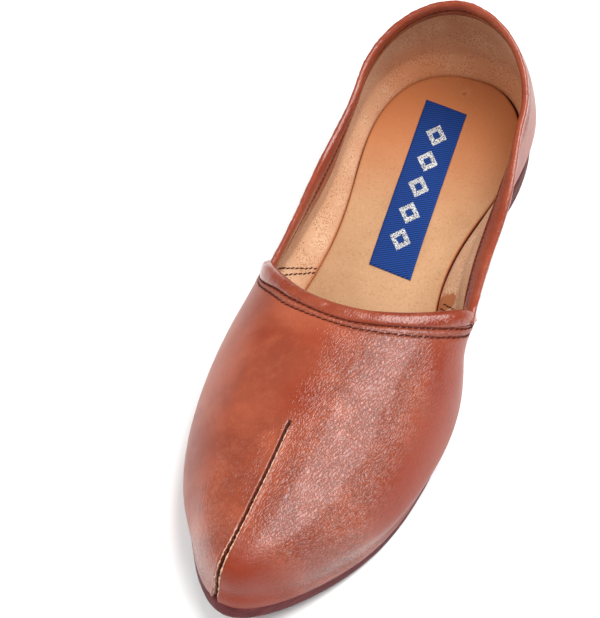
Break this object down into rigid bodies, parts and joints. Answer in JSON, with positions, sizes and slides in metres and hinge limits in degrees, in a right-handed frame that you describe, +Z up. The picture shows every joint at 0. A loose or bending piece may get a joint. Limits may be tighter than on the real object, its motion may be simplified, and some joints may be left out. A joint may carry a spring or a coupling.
{
  "type": "slip-on shoe",
  "caption": "Traditional leather slip-on shoe with a pointed toe, a slit toe seam, a rolled throat edge, a flat leather sole and a cloth insole label, left foot",
  "frame": {"origin": "middle of the shoe's bounding box in plan, on the floor under the sole", "axes": "+X the wearer's outer side, +Y from the toe to the heel, +Z up"},
  "size_m": [0.0974, 0.2812, 0.0656],
  "materials": {
    "upper_leather": "glossy pebbled tan",
    "binding_leather": "glossy folded edge",
    "sole_leather": "dark waxed edge",
    "insole_board": "smooth matte tan",
    "label_cloth": "woven twill"
  },
  "bodies": {
    "root": {"upper": "upper_leather", "throat_binding": "binding_leather", "collar_binding": "binding_leather", "outsole": "sole_leather", "heel_lift": "sole_leather", "insole": "insole_board", "insole_label": "label_cloth"}
  },
  "joints": []
}
